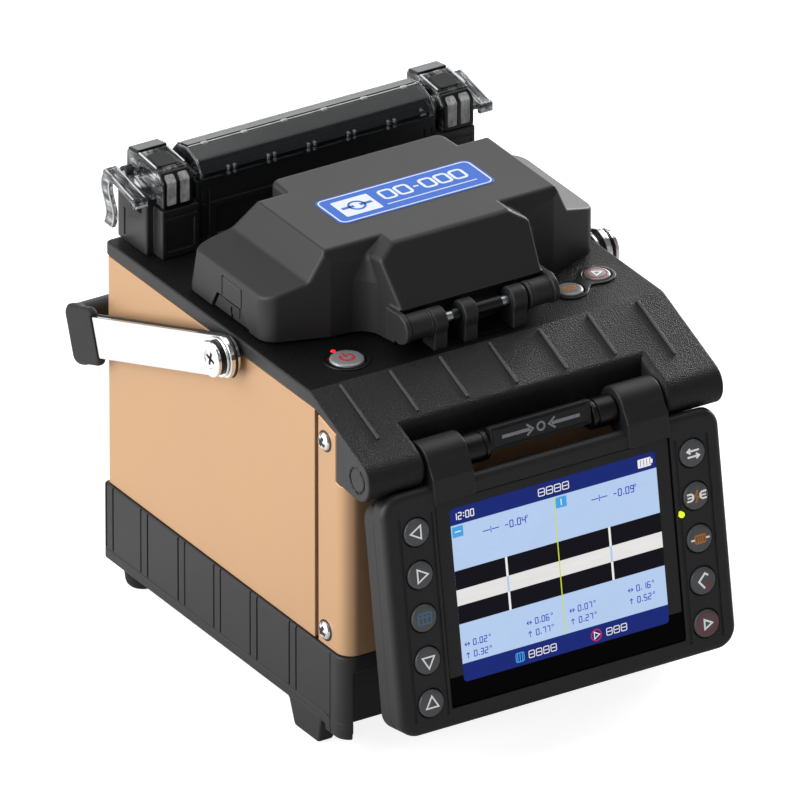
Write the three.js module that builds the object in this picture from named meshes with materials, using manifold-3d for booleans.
// Fiber fusion splicer, bench and field type.
// Millimetres, +Z up, +X to the operator's right, -Y towards the operator.
// The fibre path runs along X under the wind cover, the heater sits along the
// rear edge of the deck, and the monitor hangs on the front edge of the deck.
import * as THREE from 'three';
import { mergeVertices } from 'three/addons/utils/BufferGeometryUtils.js';
import { ConvexGeometry } from 'three/addons/geometries/ConvexGeometry.js';
import Module from 'manifold-3d';

const wasm = await Module();
wasm.setup();

// ---------------------------------------------------------------- dimensions
// Names ending in _X are half widths about the centre plane.
const SHIFT_Y = 9.945;         // centres the overall box on Y
const RAISE = 2.2;             // height of the foot pads under the drawing datum
const FOOT_Z = -RAISE;

const BODY_X = 75.0;           // metal case
const BODY_REAR = 80.0;
const BODY_FRONT = -84.7;
const SEAM_Y = -64.0;          // front edge of the side panels
const SEAM_GAP = 2.4;
const PANEL_T = 2.0;
const CASE_BOTTOM = 39.0;
const CASE_TOP = 131.4;

const DECK_X = 75.3;
const DECK_REAR = 80.5;
const DECK_Z = 137.3;          // top of the flat deck
const DECK_T = 3.0;
const RIM_Z = 131.7;           // lower edge of the deck's rim
const SLOPE_Y = -60.6;         // where the flat deck turns into the front slope
const SLOPE_DEG = 21.7;

const FIBER_Y = 1.0;
const FIBER_Z = 141.7;

// hinge axes along X, as [y, z]
const MON_HINGE = [-93.5, 115.5];
const COVER_HINGE = [-53.3, 147.0];
const HANDLE_PIVOT = [-8.5, 130.0];
const HEATER_HINGE = [76.5, 164.0];
const MON_TILT_DEG = 9.0;
const HANDLE_DEG = -19.2;
const PIN_R = 2.0;             // cover and monitor hinge pins
const BORE_R = 2.3;            // holes for those pins

const SIDES = [['left', -1], ['right', 1]];

// ------------------------------------------------------------------- helpers
const toRadians = THREE.MathUtils.degToRad;

// spans are [low, high] pairs
const across = (half) => [-half, half];
const around = (middle, width) => [middle - width / 2, middle + width / 2];
const onSide = (side, near, far) => (side > 0 ? [near, far] : [-far, -near]);

const bothSides = (make) => [-1, 1].flatMap((side) => make(side));
const join = (...solids) => solids.flat().reduce((a, b) => a.add(b));
const cut = (solid, ...tools) => tools.flat().reduce((a, b) => a.subtract(b), solid);

function toSolid(geometry) {
  const bare = geometry.clone();
  bare.deleteAttribute('normal');
  bare.deleteAttribute('uv');
  const merged = mergeVertices(bare, 1e-4);
  return new wasm.Manifold(new wasm.Mesh({
    numProp: 3,
    vertProperties: new Float32Array(merged.attributes.position.array),
    triVerts: new Uint32Array(merged.index.array),
  }));
}

function toGeometry(solid) {
  const mesh = solid.getMesh();
  const positions = new Float32Array(mesh.vertProperties);
  const geometry = new THREE.BufferGeometry();
  geometry.setAttribute('position', new THREE.BufferAttribute(positions, 3));
  geometry.setIndex(new THREE.BufferAttribute(new Uint32Array(mesh.triVerts), 1));
  geometry.computeVertexNormals();
  return geometry;
}

// basis: where the outline's first axis, its second axis and the depth point
function extruded(points, depth, basis, offset) {
  const shape = new THREE.Shape(points.map(([x, y]) => new THREE.Vector2(x, y)));
  const geometry = new THREE.ExtrudeGeometry(shape, { depth, bevelEnabled: false });
  const matrix = new THREE.Matrix4().makeBasis(...basis);
  matrix.setPosition(offset);
  geometry.applyMatrix4(matrix);
  return toSolid(geometry);
}

const AXIS_X = new THREE.Vector3(1, 0, 0);
const AXIS_Y = new THREE.Vector3(0, 1, 0);
const AXIS_Z = new THREE.Vector3(0, 0, 1);
const MINUS_Y = new THREE.Vector3(0, -1, 0);

// prisms along one axis: outlines are [y, z], [x, z] and [x, y] in turn
const prismX = (points, [x0, x1]) =>
  extruded(points, x1 - x0, [AXIS_Y, AXIS_Z, AXIS_X], new THREE.Vector3(x0, 0, 0));
const prismY = (points, [y0, y1]) =>
  extruded(points, y1 - y0, [AXIS_X, AXIS_Z, MINUS_Y], new THREE.Vector3(0, y1, 0));
const prismZ = (points, [z0, z1]) =>
  extruded(points, z1 - z0, [AXIS_X, AXIS_Y, AXIS_Z], new THREE.Vector3(0, 0, z0));

function box([x0, x1], [y0, y1], [z0, z1]) {
  const geometry = new THREE.BoxGeometry(x1 - x0, y1 - y0, z1 - z0);
  geometry.translate((x0 + x1) / 2, (y0 + y1) / 2, (z0 + z1) / 2);
  return toSolid(geometry);
}

// centre: the two coordinates off the cylinder's own axis
function cylinder(axis, [low, high], centre, radius, segments = 16) {
  const geometry = new THREE.CylinderGeometry(radius, radius, high - low, segments);
  if (axis === 'x') geometry.rotateZ(-Math.PI / 2);
  if (axis === 'z') geometry.rotateX(Math.PI / 2);
  const place = [...centre];
  place.splice('xyz'.indexOf(axis), 0, (low + high) / 2);
  geometry.translate(...place);
  return toSolid(geometry);
}

const hull = (points) =>
  toSolid(new ConvexGeometry(points.map((point) => new THREE.Vector3(...point))));

// hull of the given points and their mirror images in X
const mirroredHull = (points) => hull(points.flatMap(([x, y, z]) => [[-x, y, z], [x, y, z]]));

// closes the +X half of an outline with its mirror image
const symmetric = (half) => [...half, ...half.map(([x, ...rest]) => [-x, ...rest]).reverse()];

// polygon with rounded corners: entries are [x, y, radius]
function rounded(points, segments = 5) {
  const count = points.length;
  return points.flatMap(([x, y, radius], i) => {
    if (!radius) return [[x, y]];
    const before = points[(i + count - 1) % count];
    const after = points[(i + 1) % count];
    const toBefore = new THREE.Vector2(before[0] - x, before[1] - y).normalize();
    const toAfter = new THREE.Vector2(after[0] - x, after[1] - y).normalize();
    const half = Math.acos(THREE.MathUtils.clamp(toBefore.dot(toAfter), -1, 1)) / 2;
    const tangent = radius / Math.tan(half);
    const centre = toBefore.clone().add(toAfter).normalize()
      .multiplyScalar(radius / Math.sin(half));
    const angleTo = (edge) =>
      Math.atan2(edge.y * tangent - centre.y, edge.x * tangent - centre.x);
    const start = angleTo(toBefore);
    let end = angleTo(toAfter);
    while (end - start > Math.PI) end -= 2 * Math.PI;
    while (start - end > Math.PI) end += 2 * Math.PI;
    return Array.from({ length: segments + 1 }, (_, k) => {
      const angle = start + ((end - start) * k) / segments;
      return [x + centre.x + radius * Math.cos(angle), y + centre.y + radius * Math.sin(angle)];
    });
  });
}

const roundedRect = ([x0, x1], [y0, y1], radius = 0, segments = 5) =>
  rounded([[x0, y0, radius], [x1, y0, radius], [x1, y1, radius], [x0, y1, radius]], segments);

function arc([y, z], radius, fromDeg, toDeg, segments) {
  return Array.from({ length: segments + 1 }, (_, i) => {
    const angle = toRadians(fromDeg + ((toDeg - fromDeg) * i) / segments);
    return [y + radius * Math.cos(angle), z + radius * Math.sin(angle)];
  });
}

const FINISHES = {
  black: { color: 0x2b2b2c, roughness: 0.6 },
  grain: { color: 0x242425, roughness: 0.75 },
  tray: { color: 0x39393a, roughness: 0.6 },
  gold: { color: 0xd9a878, roughness: 0.42, metalness: 0.85 },
  chrome: { color: 0xdcdde0, roughness: 0.12, metalness: 1 },
  key: { color: 0x8a8b8d, roughness: 0.4, metalness: 0.1 },
  clear: { color: 0x9aa0a4, roughness: 0.1 },
  glass: { color: 0x0d1016, roughness: 0.08 },
  lcd: { color: 0x9fc2ee, roughness: 0.4 },
  red: { color: 0xd01818, roughness: 0.35 },
  lime: { color: 0xb8e02a, roughness: 0.35 },
  rubber: { color: 0x1d1d1e, roughness: 0.9 },
  steel: { color: 0xb0b3b6, roughness: 0.3, metalness: 1 },
  alu: { color: 0xa9adb1, roughness: 0.45, metalness: 0.9 },
  ceramic: { color: 0xe6e4dc, roughness: 0.5 },
  pcb: { color: 0x1f5a35, roughness: 0.6 },
  pack: { color: 0x2f3033, roughness: 0.65 },
  grip: { color: 0x232324, roughness: 0.8 },
};

function meshOf(name, finish, geometry) {
  const mesh = new THREE.Mesh(geometry, new THREE.MeshStandardMaterial(FINISHES[finish]));
  mesh.name = name;
  return mesh;
}

const piece = (name, finish, solid) => meshOf(name, finish, toGeometry(solid));

// turned piece: profile of [radius, height] pairs that starts and ends on its axis
function turned(name, finish, profile, segments, position, rotation) {
  const points = profile.map(([radius, height]) => new THREE.Vector2(radius, height));
  const mesh = meshOf(name, finish, new THREE.LatheGeometry(points, segments));
  mesh.position.set(...position);
  mesh.rotation.set(...rotation);
  return mesh;
}

// rotations that point the height of a turned piece along a direction
const UPWARD = [Math.PI / 2, 0, 0];
const FORWARD = [Math.PI, 0, 0];             // -Y
const REARWARD = [0, 0, 0];                  // +Y
const outward = (side) => [0, 0, (-side * Math.PI) / 2];

const assembly = new THREE.Group();
assembly.position.set(0, SHIFT_Y, RAISE);
const chassis = new THREE.Group();
const cover = new THREE.Group();
const monitor = new THREE.Group();
const handle = new THREE.Group();
const heater = new THREE.Group();
const battery = new THREE.Group();
const deckKeys = new THREE.Group();
assembly.add(chassis, cover, monitor, handle, heater, battery, deckKeys);
monitor.position.set(0, ...MON_HINGE);
monitor.rotation.x = -toRadians(MON_TILT_DEG);
handle.position.set(0, ...HANDLE_PIVOT);
handle.rotation.x = toRadians(HANDLE_DEG);

// ------------------------------------------------- base tray, battery pack
const BASE_X = 76.0;
const BASE_REAR = 81.2;
const BASE_FRONT = -85.3;
const BASE_BOTTOM = 7.6;
const BASE_TOP = 38.7;
const FLOOR_Z = 10.4;          // inner floor of the tray
const GROOVE_Y = [76.6, 52.5, 26.6, 1.8, -23.4, -50.3];
const GROOVE_W = 3.4;
const GROOVE_DEPTH = 0.8;
const BATTERY_X = 44.4;
const POST_X = 58;
const POST_Y = [52, -56];

function baseTray() {
  const plan = rounded([
    [-BASE_X, BASE_FRONT, 6], [BASE_X, BASE_FRONT, 6],
    [BASE_X, BASE_REAR, 2], [-BASE_X, BASE_REAR, 2]]);
  const frontCorner = (side) =>
    prismZ(plan, [5.4, 9]).intersect(box(onSide(side, 71.5, 77), [-90, -72.3], [0, 20]));
  const lugProfile = rounded([[-47, 9], [-51, FOOT_Z, 1], [-67.8, FOOT_Z, 1], [-69.8, 9]], 2);
  const frontLug = (side) => prismX(lugProfile, onSide(side, 69.5, BASE_X));

  const interior = box(across(72.5), [-74, 77.6], [FLOOR_Z, 60]);
  const frontRecess = box(across(71.5), [-95, -77], [-5, 32.3]);
  const batterySlot = box(across(BATTERY_X + 0.5), [70, 90], [FLOOR_Z, 33.9]);
  const grooves = GROOVE_Y.flatMap((y) => bothSides((side) =>
    box(onSide(side, BASE_X - GROOVE_DEPTH, 90), around(y, GROOVE_W), [12.7, 50])));

  const batteryRail = (side) => box(onSide(side, 45.2, 47.6), [-45, 78], [9, 21]);
  const posts = (side) => POST_Y.map((y) => cylinder('z', [9, 59.7], [side * POST_X, y], 3, 8));
  return join(
    cut(
      join(prismZ(plan, [BASE_BOTTOM, BASE_TOP]), bothSides(frontCorner), bothSides(frontLug)),
      interior, frontRecess, batterySlot, grooves),
    bothSides(batteryRail), bothSides(posts));
}
chassis.add(piece('base_tray', 'tray', baseTray()));

const FOOT_PROFILE = [
  [0, FOOT_Z], [5.0, FOOT_Z], [6.4, FOOT_Z + 1.2], [7.2, 5.5], [7.2, 7.4], [0, 7.4]];
for (const [name, side] of SIDES) {
  chassis.add(turned(`rear_foot_${name}`, 'rubber', FOOT_PROFILE, 20,
    [side * 65, 71.5, 0], UPWARD));
}

function batteryPack() {
  const pack = prismY(roundedRect(across(BATTERY_X), [10.8, 33.4], 2.5, 3), [-38, 80.6]);
  const rearPull = box(across(16), [77.6, 90], [14.5, 20.5]);
  const frontSlot = box(across(36), [-50, -36], [15, 20]);
  return cut(pack, rearPull, frontSlot);
}
battery.add(piece('battery_pack', 'pack', batteryPack()));

// -------------------------------------------------------------- metal casing
// side screws: name, y, z
const SCREWS = [['upper', -71.3, 121.7], ['lower', -71.5, 45.2]];
const SCREW_PROFILE = [
  [0, -7], [1.25, -7], [1.25, 0.3], [2.7, 0.3], [2.7, 0.9], [2.2, 1.6], [1.2, 2.0], [0, 2.1]];

const screwHoles = () => bothSides((side) =>
  SCREWS.map(([, y, z]) => cylinder('x', onSide(side, 60, 80), [y, z], 1.6, 8)));

// outline of the rear socket insert, grown all round
const socketOutline = (grow, radius) =>
  roundedRect([-62 - grow, -28 + grow], [52 - grow, 66 + grow], radius, 3);

// Side and rear walls in one, open to the front.
function bodyShell() {
  const outer = rounded([[BODY_X, SEAM_Y], [BODY_X, BODY_REAR, 2.5], [0, BODY_REAR]]);
  // steps inwards near the seam into a tongue behind the front panel
  const inner = rounded([
    [0, BODY_REAR - PANEL_T], [BODY_X - PANEL_T, BODY_REAR - PANEL_T, 1],
    [BODY_X - PANEL_T, -56], [71.2, -58], [71.2, -76], [72.4, -76], [72.4, SEAM_Y]], 4);
  // the points on the symmetry line only guide the rounding
  const plan = symmetric([...inner.slice(1), ...outer.slice(0, -1)]);
  return cut(prismZ(plan, [CASE_BOTTOM, CASE_TOP]), screwHoles(),
    // tongue lowered to clear the deck
    box(across(80), [-90, SEAM_Y - 0.02], [124.5, 140]),
    box(across(72.95), [-90, SEAM_Y + 6], [130.5, 140]),
    prismY(socketOutline(0.3, 3.3), [70, 90]));
}

function frontPanel() {
  const rear = SEAM_Y - SEAM_GAP;
  const innerX = BODY_X - PANEL_T + 0.2;
  const innerFront = BODY_FRONT + PANEL_T;
  const plan = rounded([
    [-BODY_X, rear], [-BODY_X, BODY_FRONT, 6], [BODY_X, BODY_FRONT, 6], [BODY_X, rear],
    [innerX, rear], [innerX, innerFront, 4], [-innerX, innerFront, 4], [-innerX, rear]]);
  // upper edge follows the underside of the deck and its side cheeks
  const belowDeck = [
    [-60, CASE_BOTTOM], [-60, CASE_TOP], [-62.6, CASE_TOP], [-78.4, 127.4],
    [-78.4, 108.3], [-81.4, 107.4], [-90, 107.4], [-90, CASE_BOTTOM]];
  return cut(
    prismZ(plan, [CASE_BOTTOM, 132]).intersect(prismX(belowDeck, across(80))),
    screwHoles());
}

// Moulded insert in the rear wall with a round and a rectangular socket.
function powerSocket() {
  return cut(
    join(
      prismY(socketOutline(0, 3), [70, 79.4]),
      prismY(socketOutline(2.4, 4), [80.3, 81.3]),
      prismY(socketOutline(-0.4, 3), [79, 81])),
    cylinder('y', [74, 90], [-53.5, 59], 3.6, 12),
    box([-43.5, -31.5], [74, 90], [56.4, 61.6]));
}

chassis.add(piece('body_shell', 'gold', bodyShell()), piece('front_panel', 'gold', frontPanel()));
for (const [sideName, side] of SIDES) {
  for (const [level, y, z] of SCREWS) {
    chassis.add(turned(`screw_${sideName}_${level}`, 'chrome', SCREW_PROFILE, 12,
      [side * BODY_X, y, z], outward(side)));
  }
}
chassis.add(piece('power_socket', 'black', powerSocket()));

// -------------------------------------------------------- top deck and keys
const RIDGE_R = 8.2;           // rounded front ridge about the monitor hinge
const HINGE_GAP_X = 50.7;      // opening in the front ridge
const POWER_LED = [-51.8, -39.2];
const DECK_KEYS = [
  { name: 'power_key', centre: [-50.9, -47.2], radius: 6.4, segments: 20 },
  { name: 'heat_key', centre: [46.2, -43.2], radius: 5.0, segments: 16 },
  { name: 'start_key', centre: [61.1, -38.0], radius: 5.0, segments: 16 },
];

const slopeZ = (y) => DECK_Z - (SLOPE_Y - y) * Math.tan(toRadians(SLOPE_DEG));

// deck's share of the cover hinge
const coverKnuckle = ([x0, x1]) => cut(
  prismX([
    [COVER_HINGE[0] - 4.4, DECK_Z - 1], [COVER_HINGE[0] + 3.6, DECK_Z - 1],
    ...arc(COVER_HINGE, 5.2, -10, 190, 9)], [x0, x1]),
  cylinder('x', [x0 - 1, x1 + 1], COVER_HINGE, BORE_R));

function topDeck() {
  const outline = [
    [DECK_REAR, RIM_Z], [DECK_REAR, DECK_Z], [SLOPE_Y, DECK_Z],
    ...arc(MON_HINGE, RIDGE_R, 90 + SLOPE_DEG, 262, 12),
    [-85.4, 107.8], [-78.7, 108.8], [-78.7, 127.8], [-63, RIM_Z]];
  // rounds the vertical corners at the rear
  const plan = rounded([
    [-DECK_X, -110], [DECK_X, -110], [DECK_X, DECK_REAR, 2.5], [-DECK_X, DECK_REAR, 2.5]], 4);
  const underside = [
    [78.4, 90], [78.4, DECK_Z - DECK_T], [-59.9, DECK_Z - DECK_T],
    [-81.4, slopeZ(-81.4) - 3.2], [-81.4, 90]];
  // opening for the monitor arms, rolled over at its upper edge
  const armOpening = [
    [-84.4, 90], [-84.4, slopeZ(-84.4) - 1.6], [-85.6, slopeZ(-85.6) - 0.3],
    [-86.2, 140], [-110, 140], [-110, 90]];
  const keyHoles = DECK_KEYS.map(({ centre, radius, segments }) =>
    cylinder('z', [130, 140], centre, radius + 0.5, segments));
  const deck = cut(
    prismX(outline, across(DECK_X)).intersect(prismZ(plan, [100, 140])),
    prismX(underside, across(72.6)),
    prismX(armOpening, across(HINGE_GAP_X)),
    bothSides((side) => cylinder('x', onSide(side, 50, 61), MON_HINGE, BORE_R)),
    // splice chamber
    box(across(63), around(FIBER_Y, 41), [120, 150]),
    keyHoles,
    cylinder('z', [130, 140], POWER_LED, 1.3, 8));
  return join(deck, [[-20, -12.8], [-7.3, 0], [12.8, 20]].map(coverKnuckle));
}

// Thick inner end and thin outer end.
function monitorPin(side) {
  const barrel = (near, far, radius) =>
    cylinder('x', onSide(side, near, far), MON_HINGE, radius);
  return join(barrel(21.8, 32.2, 3.7), barrel(32, 60.5, PIN_R));
}

// Blank badge between the hinge barrels, on a bracket from the deck's front wall.
function namePlate() {
  const tilt = toRadians(10);
  const platePoint = (out, up) => [
    -96 - out * Math.cos(tilt) + up * Math.sin(tilt),
    118.6 + out * Math.sin(tilt) + up * Math.cos(tilt)];
  const plate = [
    platePoint(-1.2, -4.5), platePoint(-1.2, 4.5), platePoint(1.3, 4.5), platePoint(1.3, -4.5)];
  const bracket = box(across(20.6), [-95.0, -84.75], [114.2, 117.6]);
  return join(prismX(plate, across(21.4)), bracket);
}

chassis.add(
  piece('top_deck', 'grain', topDeck()),
  piece('cover_hinge_pin', 'steel', cylinder('x', across(29.2), COVER_HINGE, PIN_R)),
  ...SIDES.map(([name, side]) => piece(`monitor_hinge_pin_${name}`, 'black', monitorPin(side))),
  piece('name_plate', 'black', namePlate()),
  turned('power_led', 'red',
    [[0, 133.5], [1.0, 133.5], [1.0, 137.6], [0.6, 138.0], [0, 138.1]], 10,
    [...POWER_LED, 0], UPWARD));

for (const { name, centre, radius, segments } of DECK_KEYS) {
  const profile = [
    [0, 131.8], [radius + 1, 131.8], [radius + 1, 132.9], [radius, 132.9],
    [radius, 137.9], [radius - 0.6, 138.5], [0, 138.6]];
  deckKeys.add(turned(name, 'key', profile, segments, [...centre, 0], UPWARD));
}

// ------------------------------------------------------------ splice chamber
const STAGE_BOTTOM = 134.3;    // underside of the groove block and feed stages
const ELECTRODE_PROFILE = [[0, 0], [0.9, 2.4], [0.9, 6.0], [2.4, 6.0], [2.4, 13.5], [0, 13.5]];
const LENS_PROFILE = [
  [0, 9.5], [2.0, 9.5], [3.1, 11], [3.1, 21], [4.6, 21], [4.6, 27], [0, 27]];

// V-shaped cutter along the fibre
const fiberGroove = (bottom, top, halfWidth, xSpan) => prismX(
  [[FIBER_Y, bottom], [FIBER_Y - halfWidth, top], [FIBER_Y + halfWidth, top]], xSpan);

function chamberBase() {
  return cut(
    box(across(62.6), around(FIBER_Y, 40.2), [128.5, 136.6]),
    box(across(59.5), around(FIBER_Y, 34.4), [134, 140]),
    // middle opening, wider below
    box(across(6), around(FIBER_Y, 31), [120, 140]),
    box(across(6), across(30), [120, 133]));
}

function vgrooveBlock() {
  return cut(
    box(across(12), around(FIBER_Y, 12), [STAGE_BOTTOM, 141.2]),
    fiberGroove(140.6, 142, 0.9, across(20)),
    box(across(3.2), around(FIBER_Y, 22), [136.8, 150]));
}

// Flat board with blocks of components on top.
function mainBoard() {
  const BLOCK_Z = 61.2;
  return join(
    box(across(62), [-60, 57], [60, 61.6]),
    box([-50, -22], [12, 40], [BLOCK_Z, 82]),
    box([-8, 18], [-20, 6], [BLOCK_Z, 64.5]),
    box([30, 52], [20, 44], [BLOCK_Z, 70]),
    box([-48, -30], [-44, -20], [BLOCK_Z, 66]),
    box([28, 56], [-46, -34], [BLOCK_Z, 68]));
}

chassis.add(
  piece('chamber_base', 'alu', chamberBase()),
  piece('vgroove_block', 'ceramic', vgrooveBlock()));
for (const [name, side] of [['front', -1], ['rear', 1]]) {
  chassis.add(
    turned(`electrode_${name}`, 'steel', ELECTRODE_PROFILE, 10,
      [0, FIBER_Y + side * 1.2, FIBER_Z], side < 0 ? FORWARD : REARWARD),
    // both lenses lie on the -Y side of the fibre at 45 degrees: the one named
    // front below it, the one named rear above it
    turned(`objective_lens_${name}`, 'black', LENS_PROFILE, 14,
      [0, FIBER_Y, FIBER_Z], [side * Math.PI * 0.75, 0, 0]));
}
chassis.add(piece('main_board', 'pcb', mainBoard()));

// ------------------------------------------ fibre feed stages, sheath clamps
const CLAMP_HINGE = [12.4, 144.6];

function feedStage(side) {
  const hingeCheek = (near, far) => box(onSide(side, near, far), [9.5, 15], [140, 147]);
  return cut(
    join(
      box(onSide(side, 23, 47), around(FIBER_Y, 28), [STAGE_BOTTOM, 140.9]),
      hingeCheek(23, 25.4), hingeCheek(44.6, 47)),
    fiberGroove(140.4, 141.5, 0.8, across(60)),
    cylinder('x', onSide(side, 20, 50), CLAMP_HINGE, 1.3, 10));
}

function sheathClamp(side) {
  const lidSpan = onSide(side, 25.8, 44.2);
  const fingerNotch = box(onSide(side, 32, 38), [-14, -7], [146, 149]);
  return join(
    cut(box(lidSpan, [-12, 9.6], [142.5, 147.4]), fingerNotch),
    box(onSide(side, 27, 43), [9, 12.4], [143, 146.2]),
    cylinder('x', lidSpan, CLAMP_HINGE, 1.9, 12),
    cylinder('x', onSide(side, 23.4, 46.6), CLAMP_HINGE, 1.0, 10));
}

for (const [name, side] of SIDES) {
  const feed = new THREE.Group();
  feed.add(
    piece(`feed_stage_${name}`, 'alu', feedStage(side)),
    piece(`sheath_clamp_${name}`, 'steel', sheathClamp(side)));
  assembly.add(feed);
}

// ---------------------------------------------------------------- wind cover
const COVER_BOTTOM = 138.0;
const COVER_X = 70.4;
const PLATEAU_Z = 173.0;
const COVER_WALL = 2.5;

const coverPlan = (inset) => rounded(symmetric([
  [33, -31.6 + inset], [47.3 - inset, -30.3 + inset, 6],
  [COVER_X - inset, -22.4 + inset, 5], [COVER_X - inset, 31.2 - inset, 5]]), 4);

function coverOutside() {
  const section = symmetric([[COVER_X, COVER_BOTTOM], [COVER_X, 155.5], [55, 161], [49, PLATEAU_Z]]);
  const sideView = [
    [-31, 130], [-31, 166.8], [-28.5, PLATEAU_Z], [17.7, PLATEAU_Z],
    [27.2, 158], [31.2, 141], [31.2, 130]];
  const main = prismY(section, across(40))
    .intersect(prismZ(coverPlan(0), [130, 180]))
    .intersect(prismX(sideView, across(80)).add(box(across(80), [-40, -30.9], [130, 166.8])));
  const rearBulge = prismZ(
    rounded([[-38, 0], [38, 0], [36.5, 29.7, 4], [-36.5, 29.7, 4]], 4),
    [COVER_BOTTOM, PLATEAU_Z]);
  const hingeHump = mirroredHull([
    [23, -24, PLATEAU_Z], [23, -36, PLATEAU_Z], [32.8, -30, 166.8], [30, -50, 153.6],
    [30, -52, 150], [30, -47, COVER_BOTTOM + 0.2], [34, -28, COVER_BOTTOM + 0.2]]);
  const hingeBarrels = bothSides((side) =>
    cylinder('x', onSide(side, 20.4, 30), COVER_HINGE, 5.3, 20));
  return join(main, rearBulge, hingeHump, hingeBarrels);
}

function coverCavities() {
  const ceiling = PLATEAU_Z - COVER_WALL;
  const wallX = COVER_X - COVER_WALL;
  const section = symmetric([
    [wallX, COVER_BOTTOM - 5], [wallX, 153.6], [54, 158.7], [47.3, ceiling]]);
  const sideView = [
    [-28.6, 120], [-28.6, 166], [-26.5, ceiling], [16.5, ceiling],
    [24.7, 157.5], [28.5, 140], [28.5, 120]];
  const main = prismY(section, across(40))
    .intersect(prismZ(coverPlan(COVER_WALL), [120, 180]))
    .intersect(prismX(sideView, across(80)));
  const bulge = box(across(35), [0, 27.1], [120, ceiling]);
  const hump = mirroredHull([
    [20, -22, 170.2], [20, -34.5, 170.2], [26, -41.5, 157], [27, -41, 130], [29, -25, 130]]);
  return [main, bulge, hump];
}

function windCover() {
  const knuckleGap = box(across(20.3), [-64, -44.6], [130, 152.9]);
  const fiberNotch = [
    [-11.6, 130], [-11.6, 138.6], [-6.2, 145], [10.4, 145], [13.9, 138.6], [13.9, 130]];
  return cut(coverOutside(), coverCavities(), knuckleGap,
    cylinder('x', across(29.4), COVER_HINGE, BORE_R),
    bothSides((side) => prismX(fiberNotch, onSide(side, 60, 80))));
}

// Pad, stem and mounting block, hanging from the cover's ceiling.
function fiberPresser(side) {
  const level = (width, depth, zSpan) =>
    box(around(side * 8, width), around(FIBER_Y, depth), zSpan);
  return join(
    level(4.8, 7.2, [142.7, 146.5]), level(2.8, 4, [146, 165]), level(8, 12, [164, 170.2]));
}

cover.add(
  piece('wind_cover', 'black', windCover()),
  ...SIDES.map(([name, side]) => piece(`fiber_presser_${name}`, 'black', fiberPresser(side))));

// ------------------------------------------------------------------- monitor
// In its own frame: x across, y to the rear, z up along the panel, with the
// hinge axis as origin.
const MON_X = 71.5;
const MON_TOP = -6.1;
const MON_BOTTOM = -98.7;
const MON_FRONT = -9.7;
const MON_R = 8.0;
const BACK_TOP = -10.6;
const ARM_R = 8.2;
const ARM_FRONT = MON_FRONT - 0.9;
const SWING_R = 8.9;           // room around the hinge axis for the deck ridge and badge
const STATUS_LED = [52.2, -43.6];
const KEY_X = 58.5;
const KEY_Z = [-21.4, -37.8, -54.2, -70.5, -86.9];
const KEY_R = 5.2;
const KEY_NAMES = {            // from top to bottom
  left: ['left', 'right', 'menu', 'down', 'up'],
  right: ['view', 'arc', 'heat', 'reset', 'start'],
};
const KEY_PROFILE = [
  [0, 0], [KEY_R + 0.8, 0], [KEY_R + 0.8, 1.0], [KEY_R, 1.0],
  [KEY_R, 5.3], [KEY_R - 0.6, 5.9], [0, 6.0]];

const panelOutline = (inset, top, radius, segments) =>
  roundedRect(across(MON_X - inset), [MON_BOTTOM + inset, top], radius, segments);

// one outline of a hull, at depth y
const layer = (y, outline) => outline.map(([x, z]) => [x, y, z]);

function monitorBezel() {
  const rim = prismY(panelOutline(0, MON_TOP, MON_R, 6), [-6.9, -2.2]);
  const frontLayer = (inset, y) =>
    layer(y, panelOutline(inset, MON_TOP - inset, MON_R - inset / 2, 6));
  const front = hull([
    ...frontLayer(0, -7.0), ...frontLayer(1.0, -9.0), ...frontLayer(2.8, MON_FRONT)]);
  // block on the bezel front joined to a round boss on the hinge axis
  const armProfile = [
    ...arc([0, 0], ARM_R, 170, -25, 14),
    [1.6, -8.5], [-2.2, -9.6], [-2.2, -14.6], [ARM_FRONT, -14.6], [ARM_FRONT, -4]];
  const arms = bothSides((side) => prismX(armProfile, onSide(side, 32.5, 50)));

  const interior = prismY(panelOutline(2.4, -11.9, MON_R - 2.4, 6), [-6.6, 5]);
  const glassSeat = prismY(roundedRect(across(50), [-91.7, -12.7], 1, 2), [-9.2, -6]);
  const window = prismY(roundedRect(across(47.8), [-89.5, -14.9]), [-12, -6]);
  const swingRoom = [onSide(-1, 50.35, 80), onSide(1, 50.35, 80), across(32.15)]
    .map((span) => cylinder('x', span, [0, 0], SWING_R, 24));
  const keyHoles = KEY_Z.flatMap((z) => bothSides((side) =>
    cylinder('y', [-12, 0], [side * KEY_X, z], KEY_R + 0.35, 16)));
  return cut(join(rim, front, arms), interior, glassSeat, window,
    cylinder('x', across(51), [0, 0], BORE_R), swingRoom, keyHoles,
    cylinder('y', [-12, 0], STATUS_LED, 1.4, 8));
}

function monitorBack() {
  return cut(
    join(
      prismY(panelOutline(0.3, BACK_TOP, 7, 5), [-1.9, 3.6]),
      hull([
        ...layer(3.4, panelOutline(0.3, BACK_TOP, 7, 4)),
        ...layer(5.4, panelOutline(1.4, -12, 6, 4)),
        ...layer(6.3, panelOutline(3.6, -14.6, 5, 4))])),
    prismY(panelOutline(3, -13.5, 4, 3), [-5, 3.4]));
}

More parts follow.
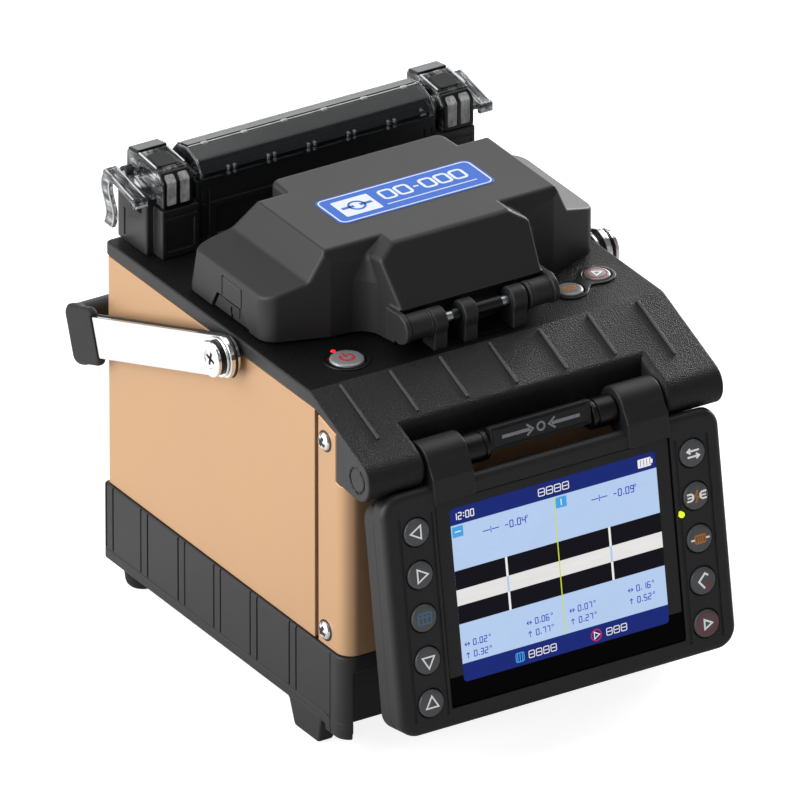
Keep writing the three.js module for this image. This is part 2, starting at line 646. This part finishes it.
monitor.add(
  piece('monitor_bezel', 'black', monitorBezel()),
  piece('monitor_back', 'black', monitorBack()),
  piece('lcd_module', 'lcd', prismY(roundedRect(across(48), [-90, -14]), [-6.3, -2.4])),
  piece('screen_glass', 'glass', prismY(roundedRect(across(49.7), [-91.4, -13]), [-8.9, -6.9])),
  turned('status_led', 'lime', [[0, 0], [1.1, 0], [1.1, 4.4], [0.6, 4.8], [0, 4.9]], 10,
    [STATUS_LED[0], -5.6, STATUS_LED[1]], FORWARD));
for (const [name, side] of SIDES) {
  KEY_Z.forEach((z, i) => {
    monitor.add(turned(`key_${name}_${i + 1}_${KEY_NAMES[name][i]}`, 'key', KEY_PROFILE, 16,
      [side * KEY_X, -4.7, z], FORWARD));
  });
}

// -------------------------------------------------------------------- handle
// In its own frame: y along the arms from the pivot axis to the grip.
const ARM_SPAN = [79.0, 81.0]; // inner and outer face of an arm
const ARM_W = 15.7;
const GRIP_NEAR = 101.2;
const GRIP_FAR = 110.6;
const GRIP_H = 22.0;
const PIVOT_PROFILE = [
  [0, -0.1], [2.9, -0.1], [2.9, 6.1], [6.4, 6.1], [6.4, 8.2],
  [5.8, 8.8], [3.4, 8.8], [2.8, 8.2], [0, 8.2]];

function handleArm(side) {
  const profile = [
    ...arc([0, 0], 8.6, 246, 114, 12),
    [9, ARM_W / 2], [90.6, ARM_W / 2], [90.6, -ARM_W / 2], [9, -ARM_W / 2]];
  return cut(
    join(
      prismX(profile, onSide(side, ...ARM_SPAN)),
      cylinder('x', onSide(side, 76.2, 79.5), [0, 0], 7.4, 20)),
    cylinder('x', onSide(side, 70, 90), [0, 0], 3.3, 14));
}

function handleGrip() {
  const bar = (near, xSpan) =>
    prismX(roundedRect([near, GRIP_FAR], across(GRIP_H / 2), 3.4, 4), xSpan);
  return join(
    bar(GRIP_NEAR, across(80)), bothSides((side) => bar(91, onSide(side, 77.8, 82.4))));
}

for (const [name, side] of SIDES) {
  handle.add(piece(`handle_arm_${name}`, 'chrome', handleArm(side)));
  chassis.add(turned(`handle_pivot_${name}`, 'chrome', PIVOT_PROFILE, 20,
    [side * 75.6, ...HANDLE_PIVOT], outward(side)));
}
handle.add(piece('handle_grip', 'grip', handleGrip()));

// -------------------------------------------------------------- sleeve heater
const HEATER_BOTTOM = 137.6;
const TROUGH_Y = 64;           // centre line of the trough

const heaterBore = (half) => cylinder('x', across(half), HEATER_HINGE, 1.8, 12);

function heaterHousing() {
  const hingeLug = (xSpan, ySpan) => [
    box(xSpan, ySpan, [159, 164]), cylinder('x', xSpan, HEATER_HINGE, 3.0, 16)];
  const endBlock = (side) => [
    box(onSide(side, 50, 69.9), [59.9, 80.3], [HEATER_BOTTOM, 159.8]),
    box(onSide(side, 51, 66.7), [54, 60.5], [HEATER_BOTTOM, 157.4]),
    ...hingeLug(onSide(side, 50.2, 52.4), [71.5, 79.8]),
    ...hingeLug(onSide(side, 66.6, 69.6), [73.5, 79.6])];
  const troughSeat = box(across(51.2), around(TROUGH_Y, 9.2), [156, 170]);
  const fiberPath = box(across(75), around(TROUGH_Y, 4), [159.6, 170]);
  const clampRecess = (side) => box(onSide(side, 52.6, 66.4), [69.5, 85], [153.5, 175]);
  return cut(
    join(
      box(across(51), [56, 79.8], [HEATER_BOTTOM, 160.2]),
      box(across(51), [56, 71.5], [150, 164.8]),
      bothSides(endBlock)),
    troughSeat, fiberPath, bothSides(clampRecess), heaterBore(75));
}

function heaterTrough() {
  return cut(
    box(across(50.6), around(TROUGH_Y, 8.4), [156.4, 164.2]),
    box(across(60), around(TROUGH_Y, 6), [158, 170]));
}

// Clear shell, open at the bottom.
function heaterLid() {
  const outer = [
    [55, 165.2], [54.6, 167.2], [61.2, 174.2], [72.4, 172.6], [79.3, 165],
    [79.3, 162.9], [76.5, 161.2], [73.6, 162.9], [72.6, 165.2]];
  const inner = [
    [56.6, 160], [56.6, 167.2], [61.9, 172.5], [71.6, 171.1], [72.4, 168.2], [71.4, 160]];
  return cut(prismX(outer, across(49.8)), prismX(inner, across(48.2)), heaterBore(55));
}

function heaterClamp(side) {
  const outer = [
    [54.6, 158.0], [54.6, 168], [58.5, 171.8], [73.5, 173.2], [79.6, 172.2],
    [79.8, 164.4], [78.6, 161.9], [76.5, 161.1], [73.6, 162.6], [72.6, 166],
    [71.9, 165.2], [71.9, 162.2], [61, 162.2], [59.6, 162.2], [59.6, 158.0]];
  const inner = [[56.2, 150], [56.2, 167.4], [59, 170.2], [72, 171.4], [72, 165.6], [70.6, 150]];
  // side lever: bridge ahead of the hinge lug, sloping strip, front and rear tabs
  const bridge = [[58.8, 160.7], [72.6, 163.6], [72.6, 165.4], [58.8, 162.5]];
  const strip = [[58.8, 160.7], [79.4, 165.0], [79.4, 166.8], [58.8, 162.5]];
  return cut(
    join(
      prismX(outer, onSide(side, 53, 66.2)),
      prismX(bridge, onSide(side, 66, 71)),
      prismX(strip, onSide(side, 70.6, 76.4)),
      box(onSide(side, 70.6, 76.4), [57.4, 59], [159.2, 163]),
      box(onSide(side, 74.6, 76.4), [75.4, 79.2], [145.2, 166])),
    prismX(inner, onSide(side, 54.4, 64.9)),
    heaterBore(70));
}

heater.add(
  piece('heater_housing', 'black', heaterHousing()),
  piece('heater_hinge_pin', 'steel', cylinder('x', across(69.3), HEATER_HINGE, 1.5, 12)),
  piece('heater_trough', 'alu', heaterTrough()),
  piece('heater_lid', 'clear', heaterLid()),
  ...SIDES.map(([name, side]) => piece(`heater_clamp_${name}`, 'clear', heaterClamp(side))));

export default assembly;
